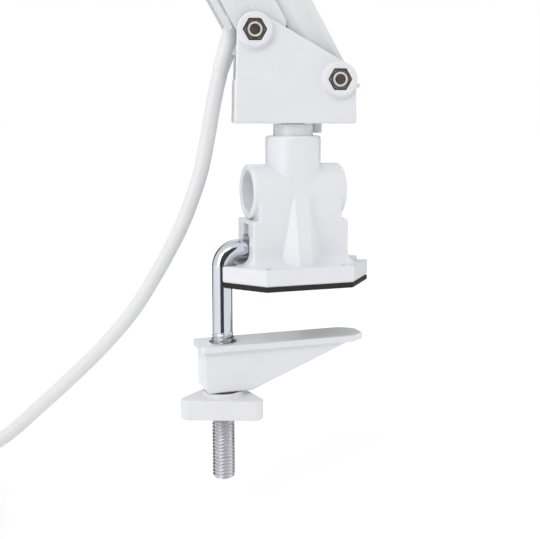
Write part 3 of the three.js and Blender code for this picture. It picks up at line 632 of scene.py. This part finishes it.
def hook_bolt():
    """The bent rod from its end in the barrel to its tip, with the thread's helix cut in its skin."""
    bend = [(BOLT_X + HOOK_BEND * (1 - math.sin(a)), 0, HOOK_Z - HOOK_BEND * (1 - math.cos(a)))
            for a in np.linspace(0, math.pi / 2, 20)]
    straight_in = [(x, 0, HOOK_Z) for x in np.linspace(HOOK_END, BOLT_X + HOOK_BEND + 0.4, 6)]
    shank = [(BOLT_X, 0, z) for z in np.linspace(HOOK_Z - HOOK_BEND - 0.6, THREAD_TOP + 1.5, 18)]
    threads = [(BOLT_X, 0, z) for z in (*np.arange(THREAD_TOP + 1.3, BOLT_LOW, -THREAD_PITCH / 10), BOLT_LOW)]
    path = np.array(straight_in + bend + shank + threads)
    sides = 64
    angles = np.arange(sides) / sides
    rows = []
    for x, _, z in path:
        if z > THREAD_TOP + 1.4:
            rows.append(np.full(sides, SHANK))
            continue
        wave = np.abs(((z / THREAD_PITCH + angles) % 1) - 0.5) * 2
        ridge = np.clip(wave * 1.25 - 0.1, 0, 1)
        full = CREST - THREAD_DEPTH * ridge
        grow = np.clip((THREAD_TOP + 1.3 - z) / 2, 0, 1)
        r = SHANK + (full - SHANK) * grow
        rows.append(np.minimum(r, TIP + (z - BOLT_LOW) * 1.1))
    return sweep(path, np.array(rows), sides, up=(0, 1, 0))


piece("hook_bolt_threaded", *hook_bolt(), [CHROME, ZINC_THREAD], "clamp_bracket", "chrome_bolt",
      ["hook_bolt"], sharp=50, choose=lambda m: m[:, 2] < THREAD_TOP + 0.5)


JAW_TOP, FLANGE_LOW, JAW_LOW = -19.8, -22.3, -37.1


def jaw_field(x, y, z):
    """A wedge under a flat flange, with a bore for the bolt. The flange's outline is half of it, mirrored."""
    plan = polygon(x, np.abs(y), [(-35.1, -20), (26, -20), (26, 3.5), (21, 7), (-34.3, 7), (-35.1, 6.2)])
    flange = rounded(plan, span(z, FLANGE_LOW, JAW_TOP), 0.4)
    side = polygon(x, z, [(-33.8, -21), (-33.8, JAW_LOW + 1.5), (-32.4, JAW_LOW), (-16.5, JAW_LOW),
                          (20.4, FLANGE_LOW), (20.4, -21)])
    body = rounded(side, span(y, -5.5, 5.5), 0.6)
    jaw = fuse(flange, body, 0.5)
    return carve(jaw, disc(x, y, 4.6, BOLT_X, 0), 0.5)


piece("clamp_jaw_cast", *skin(jaw_field, (-35.2, -7.1, -37.2), (26.1, 7.1, -19.7), 0.36), WHITE_CAST, "jaw",
      "white_cast", ["clamp_jaw"], sharp=55)

KNOB_TURN, LOBE_REACH, LOBE_RADIUS = -20, 13, 3.2
KNOB_TOP, KNOB_LOW, COLLAR_TOP = -38.9, -46, -37.45
LOBES = [(*along((BOLT_X, 0), LOBE_REACH, a + KNOB_TURN), LOBE_RADIUS) for a in (90, 210, 330)]
LOBE_OUTLINE = hull_of(LOBES, 48)


def knob_field(x, y, z):
    body = rounded(polygon(x, y, LOBE_OUTLINE), span(z, KNOB_LOW, KNOB_TOP), 0.8)
    collar = rounded(disc(x, y, 7.2, BOLT_X), span(z, -44, COLLAR_TOP), 0.5)
    return carve(fuse(body, collar, 0.8), disc(x, y, 5.8, BOLT_X), 0.5)


piece("clamp_knob_moulding", *skin(knob_field, (-42.8, -16.5, -46.1), (-9.3, 16.5, -37.3), 0.33),
      WHITE_PLASTIC, "knob", "white_plastic", ["clamp_knob"], sharp=55)
insert = rounded_corners([(4.55, -45.2), (5.4, -45.2), (5.4, -38.1), (4.55, -38.1)], 0.25, True, 3)
piece("knob_insert_turned", *lathe(insert, 64, closed=True), BRASS, "knob", "brass_insert", ["knob_insert"],
      Matrix.Translation((BOLT_X, 0, 0)))

# ------------------------------------------------------------------ pivots

# A fastener's heights are from the lamp's middle plane.
SEAT, FLATS, NUT_HIGH, HEAD_HIGH = 8.2, 6.5, 2.1, 2.7
PIN_RADIUS, PIN_END, PIN_THREAD_FROM, PIN_PITCH, PIN_THREAD_DEPTH = 1.98, 10.3, 7.5, 0.7, 0.3


def hex_rows(low, high, inner):
    """A hexagon with its corners turned off at the outer end, and a bore or a flat centre inside."""
    angles = turn_of(96)
    corner = FLATS / 2 / np.cos(np.mod(angles, math.pi / 3) - math.pi / 6)
    flat = FLATS * 0.475
    top = high - (corner - flat) * 0.55
    spec = [(inner, low), (corner - 0.08, low), (corner, low + 0.1), (corner, top - 0.06),
            (corner - 0.06, top), (flat, high), (inner, high)]
    return [loop(r, h, angles) for r, h in spec]


def pivot_hardware(name, pivot, body):
    """A lock nut, the ring of its nylon insert, and the bolt with its head on the far side."""
    place = TURRET @ Matrix.Translation((pivot[0], 0, pivot[1])) @ Matrix.Rotation(math.pi / 2, 4, "X")
    piece(f"{name}_lock_nut", *rings(hex_rows(SEAT, SEAT + NUT_HIGH, 2.45), closed=True), STEEL_DARK, body,
          "zinc_hardware", [f"{name}_nut"], place, sharp=25)
    collar = rounded_corners([(2.05, SEAT + 0.3), (2.44, SEAT + 0.3), (2.44, SEAT + 2.6), (1.75, SEAT + 2.6),
                              (1.75, SEAT + 2.25), (2.05, SEAT + 2.25)], 0.14, True, 3)
    piece(f"{name}_nut_ring", *lathe(collar, 64, True), NICKEL, body, "zinc_hardware", (), place)
    rows, angles = [], turn_of(48)
    plain = np.arange(-6, PIN_THREAD_FROM, 1.5)
    threaded = np.arange(PIN_THREAD_FROM + 0.1, PIN_END, PIN_PITCH / 8)
    for h in (-SEAT - 0.1, *plain, *threaded, PIN_END):
        wave = np.abs(((h / PIN_PITCH - angles / (2 * math.pi)) % 1) - 0.5) * 2
        cut = PIN_THREAD_DEPTH * wave if h > PIN_THREAD_FROM else 0
        rows.append(loop(PIN_RADIUS - cut - max(0, h - PIN_END + 0.35), h, angles))
    shank_verts, shank_faces = rings(rows)
    head_verts, head_faces = rings(hex_rows(SEAT, SEAT + HEAD_HIGH, 0.02)[1:-1])
    head_verts = head_verts * [-1, 1, -1]
    faces = shank_faces + [[i + len(shank_verts) for i in f] for f in head_faces]
    piece(f"{name}_bolt_turned", np.vstack([shank_verts, head_verts]), faces, STEEL_DARK, body,
          "zinc_hardware", [f"{name}_bolt"], place, sharp=25)


for name, pivot, body in (
    ("lower_pivot_a", PIVOT_A, "turret"), ("lower_pivot_b", PIVOT_B, "turret"),
    ("elbow_lower_a", ELBOW_A, "elbow"), ("elbow_lower_b", ELBOW_B, "elbow"),
    ("elbow_upper_a", UPPER_A, "elbow"), ("elbow_upper_b", UPPER_B, "elbow"),
    ("head_pivot_a", HEAD_A, "head_bracket"), ("head_pivot_b", HEAD_B, "head_bracket"),
):
    pivot_hardware(name, pivot, body)

# ------------------------------------------------------------------ plates that carry the pivots

PLATE_NEAR, PLATE_FAR, BOSS_FAR, BOSS_RADIUS = 7, 9, 10.8, 5.8
NUT_POCKET, POCKET_FLOOR, PIVOT_HOLE, STEM_BORE = 7.1, 7.9, 2.5, 4.4

def plates(x, y, z, outline, pivots, edge=0.6):
    """Two plates either side of the middle plane, with a boss, a nut's pocket and a hole at each pivot."""
    across = np.abs(y)
    made = rounded(polygon(x, z, outline), span(across, PLATE_NEAR, PLATE_FAR), edge)
    for px, pz in pivots:
        boss = rounded(disc(x, z, BOSS_RADIUS, px, pz), span(across, 8, BOSS_FAR), 0.5)
        made = fuse(made, boss, 0.5)
    for px, pz in pivots:
        pocket = np.maximum(polygon(x, z, hexagon(NUT_POCKET, px, pz)), POCKET_FLOOR - across)
        made = carve(made, pocket, 0.15)
        made = carve(made, disc(x, z, PIVOT_HOLE, px, pz))
    return made


def outline_span(outline, back, front):
    """The corners of the box that an X-Z outline fills between two places along Y, with a little to spare."""
    x, z = np.array(outline).T
    return (x.min() - 0.1, back, z.min() - 0.1), (x.max() + 0.1, front, z.max() + 0.1)


BLOCK_OUTLINE = hull_of([(-19.8, 56.8, 1), (19.5, 56.8, 1), (*PIVOT_A, 5.9), (*PIVOT_B, 5.9)])


def block_field(x, y, z):
    """The plates on their floor, with its wall, lip, tab, stop lug and pip, and the spigot's bore."""
    made = plates(x, y, z, BLOCK_OUTLINE, [PIVOT_A, PIVOT_B])
    floor_part = block(x, y, z, ((-20.8, 20.4), (-8.6, 8.6), (55.8, 58.8)), 0.6)
    left_wall = block(x, y, z, ((-20.7, -18.9), (-8.6, 8.6), (55.9, 70.3)), 0.5)
    right_lip = block(x, y, z, ((18.6, 20.4), (-8.6, 8.6), (55.9, 60.4)), 0.6)
    tab = block(x, y, z, ((-19.8, -18.4), (-3.6, 3.6), (69, 78)), 0.4)
    stop = block(x, y, z, ((7.4, 10.4), (1.5, 5), (52.4, 58)), 0.4)
    pip = rounded(disc(y, z, 0.75, -8, 68.3), span(x, 19, 21.7), 0.3)
    for wall in (floor_part, left_wall, right_lip):
        made = fuse(made, wall, 0.5)
    for lug_part in (tab, stop, pip):
        made = fuse(made, lug_part, 0.3)
    return carve(made, np.maximum(disc(x, y, STEM_BORE), z - 61))


piece("turret_block_cast", *skin(block_field, (-20.9, -10.9, 52.3), (21.8, 10.9, 92.4), 0.4), WHITE_CAST,
      "turret", "white_cast", ["turret_block"], TURRET, sharp=55)
spigot = rounded_corners(
    [(0, 24), (6.2, 24), (6.9, 24.8), (6.9, 55.5), (4, 55.5), (4, 60.3), (3.2, 61.1), (0, 61.1)], 0.3)
piece("pan_spigot_turned", *lathe(spigot), WHITE_ARM, "turret", "white_arm", ["pan_spigot"], TURRET)

ELBOW_PIVOTS = [ELBOW_A, ELBOW_B, UPPER_A, UPPER_B]
ELBOW_OUTLINE = hull_of([(*p, 7.2) for p in ELBOW_PIVOTS])
for side, label in ((-1, "front"), (1, "rear")):
    def elbow_field(x, y, z, side=side):
        made = plates(x, y, z, ELBOW_OUTLINE, ELBOW_PIVOTS, 0.5)
        made = carve(made, disc(x, z, PIVOT_HOLE, *SPACER))
        return np.maximum(made, -side * y)

    low, high = outline_span(ELBOW_OUTLINE, *sorted((side * 6.9, side * 10.9)))
    piece(f"elbow_{label}_plate_cast", *skin(elbow_field, low, high, 0.45), WHITE_CAST, "elbow", "white_cast",
          [f"elbow_{label}_plate"], TURRET, sharp=55)

BRACKET_OUTLINE = hull_of([(*HEAD_A, 7.2), (*HEAD_B, 7.2), (STEM_X - 15, STEM_LOW + 6, 4),
                           (STEM_X - 15, HEAD_A[1] - 8, 4)])
NOSE_OUTLINE = hull_of([(STEM_X + dx, STEM_LOW + dz, 3) for dx, dz in ((-11, 3), (5, 3), (5, 17), (-11, 17))])


def head_bracket_field(x, y, z):
    made = plates(x, y, z, BRACKET_OUTLINE, [HEAD_A, HEAD_B])
    nose = rounded(polygon(x, z, NOSE_OUTLINE), span(y, -8.9, 8.9), 1.0)
    return carve(fuse(made, nose, 1.0), disc(x, y, STEM_BORE, STEM_X), 0.3)


low, high = outline_span(BRACKET_OUTLINE + NOSE_OUTLINE, -10.9, 10.9)
piece("head_bracket_cast", *skin(head_bracket_field, low, high, 0.45), WHITE_CAST, "head_bracket",
      "white_cast", ["head_bracket"], TURRET, sharp=55)

# ------------------------------------------------------------------ lamp head


def knuckle_field(x, y, z):
    """The stem and its collar over a fork for the shade's ear."""
    stem = rounded(disc(x, y, 4), span(z, -10, 25), 0.6)
    collar = rounded(disc(x, y, 7), span(z, -6, -0.3), 0.6)
    ear_outline = hull_of([(0, TILT_Z, 6.5), (-4, -8, 2.5), (4, -8, 2.5)])
    ears = rounded(polygon(x, z, ear_outline), span(np.abs(y), 3, 6.4), 0.5)
    bridge = block(x, y, z, ((-6.4, 6.4), (-6.4, 6.4), (-10, -5.6)), 0.6)
    made = fuse(fuse(fuse(stem, collar, 0.8), bridge, 0.8), ears, 0.8)
    return carve(made, disc(x, z, PIVOT_HOLE, 0, TILT_Z), 0.2)


piece("head_knuckle_cast", *skin(knuckle_field, (-7.1, -7.1, -30), (7.1, 7.1, 25.1), 0.4), WHITE_CAST,
      "head_knuckle", "white_cast", ["head_knuckle"], HEAD, sharp=55)


def tilt_knob_field(x, y, z):
    """A grip with five scallops, and a blind hole for the tilt bolt's end."""
    outline = hull_of([(*along((0, TILT_Z), 6.5, a), 3.5) for a in range(0, 360, 72)])
    grip = rounded(polygon(x, z, outline), span(y, 6.9, 15), 1.0)
    for a in range(36, 396, 72):
        grip = carve(grip, disc(x, z, 5, *along((0, TILT_Z), 13, a)), 1.0)
    return carve(grip, np.maximum(disc(x, z, 2.8, 0, TILT_Z), y - 13.4))


piece("tilt_knob_moulding", *skin(tilt_knob_field, (-10.2, 6.8, -33.2), (10.2, 15.1, -12.8), 0.35),
      WHITE_PLASTIC, "tilt_knob", "white_plastic", ["tilt_knob"], HEAD, sharp=55)

NECK, MOUTH, HEIGHT, WALL = 26, 78, 118, 1.2


def bell(inset):
    """The shade's profile from its neck down to its mouth, set in from the outside."""
    return [(NECK - inset + (MOUTH - NECK) * math.sin(t * math.pi / 2) ** 1.25, SHADE_TOP - t * HEIGHT)
            for t in np.linspace(0, 1, 41)]


rolled = ((-0.8, 0), (0.4, 0.1), (0.95, 0.7), (0.6, 1.4))
rim = [(MOUTH + out, SHADE_TOP - HEIGHT + up) for out, up in rolled]
shade_profile = [*rim, *bell(0)[::-1][1:], *bell(WALL)[:-1]]
piece("shade_spun", *lathe(shade_profile, 128, closed=True), WHITE_SHADE, "lamp_head", "white_shade",
      ["shade"], HEAD, sharp=50)


CAP_RADIUS, CAP_WALL, CAP_HIGH, CAP_ROOF, BUTTON_X = 24.4, 1.8, 48, 3, -13


def cap_field(x, y, z):
    """A cup open below, with an ear on its roof and a hole for the switch button."""
    outer = rounded(disc(x, y, CAP_RADIUS), span(z, CAP_TOP - CAP_HIGH, CAP_TOP), 3.0)
    inner = rounded(disc(x, y, CAP_RADIUS - CAP_WALL), span(z, CAP_TOP - 60, CAP_TOP - CAP_ROOF), 3.0)
    made = carve(outer, inner, 0.3)
    ear_outline = hull_of([(0, TILT_Z, 6), (-7, CAP_TOP - 2, 1.5), (7, CAP_TOP - 2, 1.5)])
    ear = rounded(polygon(x, z, ear_outline), span(y, -2.6, 2.6), 0.5)
    made = fuse(made, np.maximum(ear, CAP_TOP - 2.5 - z), 0.8)
    made = carve(made, disc(x, z, PIVOT_HOLE, 0, TILT_Z))
    return carve(made, np.maximum(disc(x, y, 3.4, BUTTON_X), CAP_TOP - 8 - z), 0.3)


piece("shade_cap_spun", *skin(cap_field, (-24.5, -24.5, CAP_TOP - 48.1), (24.5, 24.5, TILT_Z + 6.2), 0.6),
      WHITE_SHADE, "lamp_head", "white_shade", ["shade_cap"], HEAD, sharp=55)
holder = rounded_corners(
    [(r, SHADE_TOP + h) for r, h in ((0, -22), (19, -22), (20, -20), (20, 18), (10, 30), (0, 30))], 1.2)
piece("lampholder_moulding", *lathe(holder), WHITE_PLASTIC, "lamp_head", "white_plastic", ["lampholder"],
      HEAD)
rolled_thread = [(12.3 + 0.45 * math.cos(2 * math.pi * h / 3.6), h - 33.6) for h in np.arange(0, 11, 0.3)]
screw_cap = [(r, SHADE_TOP + h) for r, h in ((0, -34), (12, -34), *rolled_thread, (12, -22.3), (0, -22.3))]
piece("bulb_screw_cap_rolled", *lathe(screw_cap), ZINC_THREAD, "lamp_head", "zinc_hardware",
      ["bulb_screw_cap"], HEAD)
GLASS_TOP = SHADE_TOP - 34.3
glass_drops = ((0.01, 104), (8, 103.2), (14, 101.5), (24, 93), (29, 80), (28.5, 66), (23, 52), (16.5, 42))
glass = spline([*[(r, SHADE_TOP - drop) for r, drop in glass_drops], (14, GLASS_TOP)], 2.0)
piece("bulb_glass_blown", *lathe([*glass.tolist(), (0, GLASS_TOP)]), OPAL, "lamp_head", "opal_bulb",
      ["bulb_glass"], HEAD)
button = rounded_corners(
    [(r, CAP_TOP + h) for r, h in ((0, -5), (4.6, -5), (4.6, -3.6), (2.9, -3.6), (2.9, 4), (0, 4))], 0.5)
piece("switch_button_moulding", *lathe(button, 48), WHITE_PLASTIC, "switch_button", "white_plastic",
      ["switch_button"], HEAD @ Matrix.Translation((BUTTON_X, 0, 0)))

# ------------------------------------------------------------------ CAD nodes that stay


def soften(names, finish, width):
    """Gives carried-over nodes their finish, and eases their edges."""
    for name in names:
        kept = NODES[name]
        kept.data.materials.clear()
        kept.data.materials.append(finish)
        weld = kept.modifiers.new("weld", "WELD")
        weld.merge_threshold = 1e-6
        bevel = kept.modifiers.new("bevel", "BEVEL")
        bevel.width = width * MM
        bevel.segments = 3
        bevel.limit_method = "ANGLE"
        bevel.angle_limit = math.radians(40)
        bevel.harden_normals = True
        kept.data.polygons.foreach_set("use_smooth", [True] * len(kept.data.polygons))


for arm in ("lower_arm_a", "lower_arm_b", "upper_arm_a", "upper_arm_b"):
    soften([f"{arm}_channel"], WHITE_ARM, 0.3)
for arm in ("lower_arm_a", "upper_arm_a"):
    soften([f"{arm}_cover"], WHITE_PLASTIC, 0.3)
    soften([f"{arm}_lead"], WHITE_CORD, 0.5)
for arm in ("lower_arm_b", "upper_arm_b"):
    soften([f"{arm}_foot_bush", f"{arm}_top_bush"], WHITE_PLASTIC, 0.2)
soften(["elbow_spacer"], WHITE_ARM, 0.3)
soften(["stem_retainer", "tilt_bolt"], STEEL_DARK, 0.2)
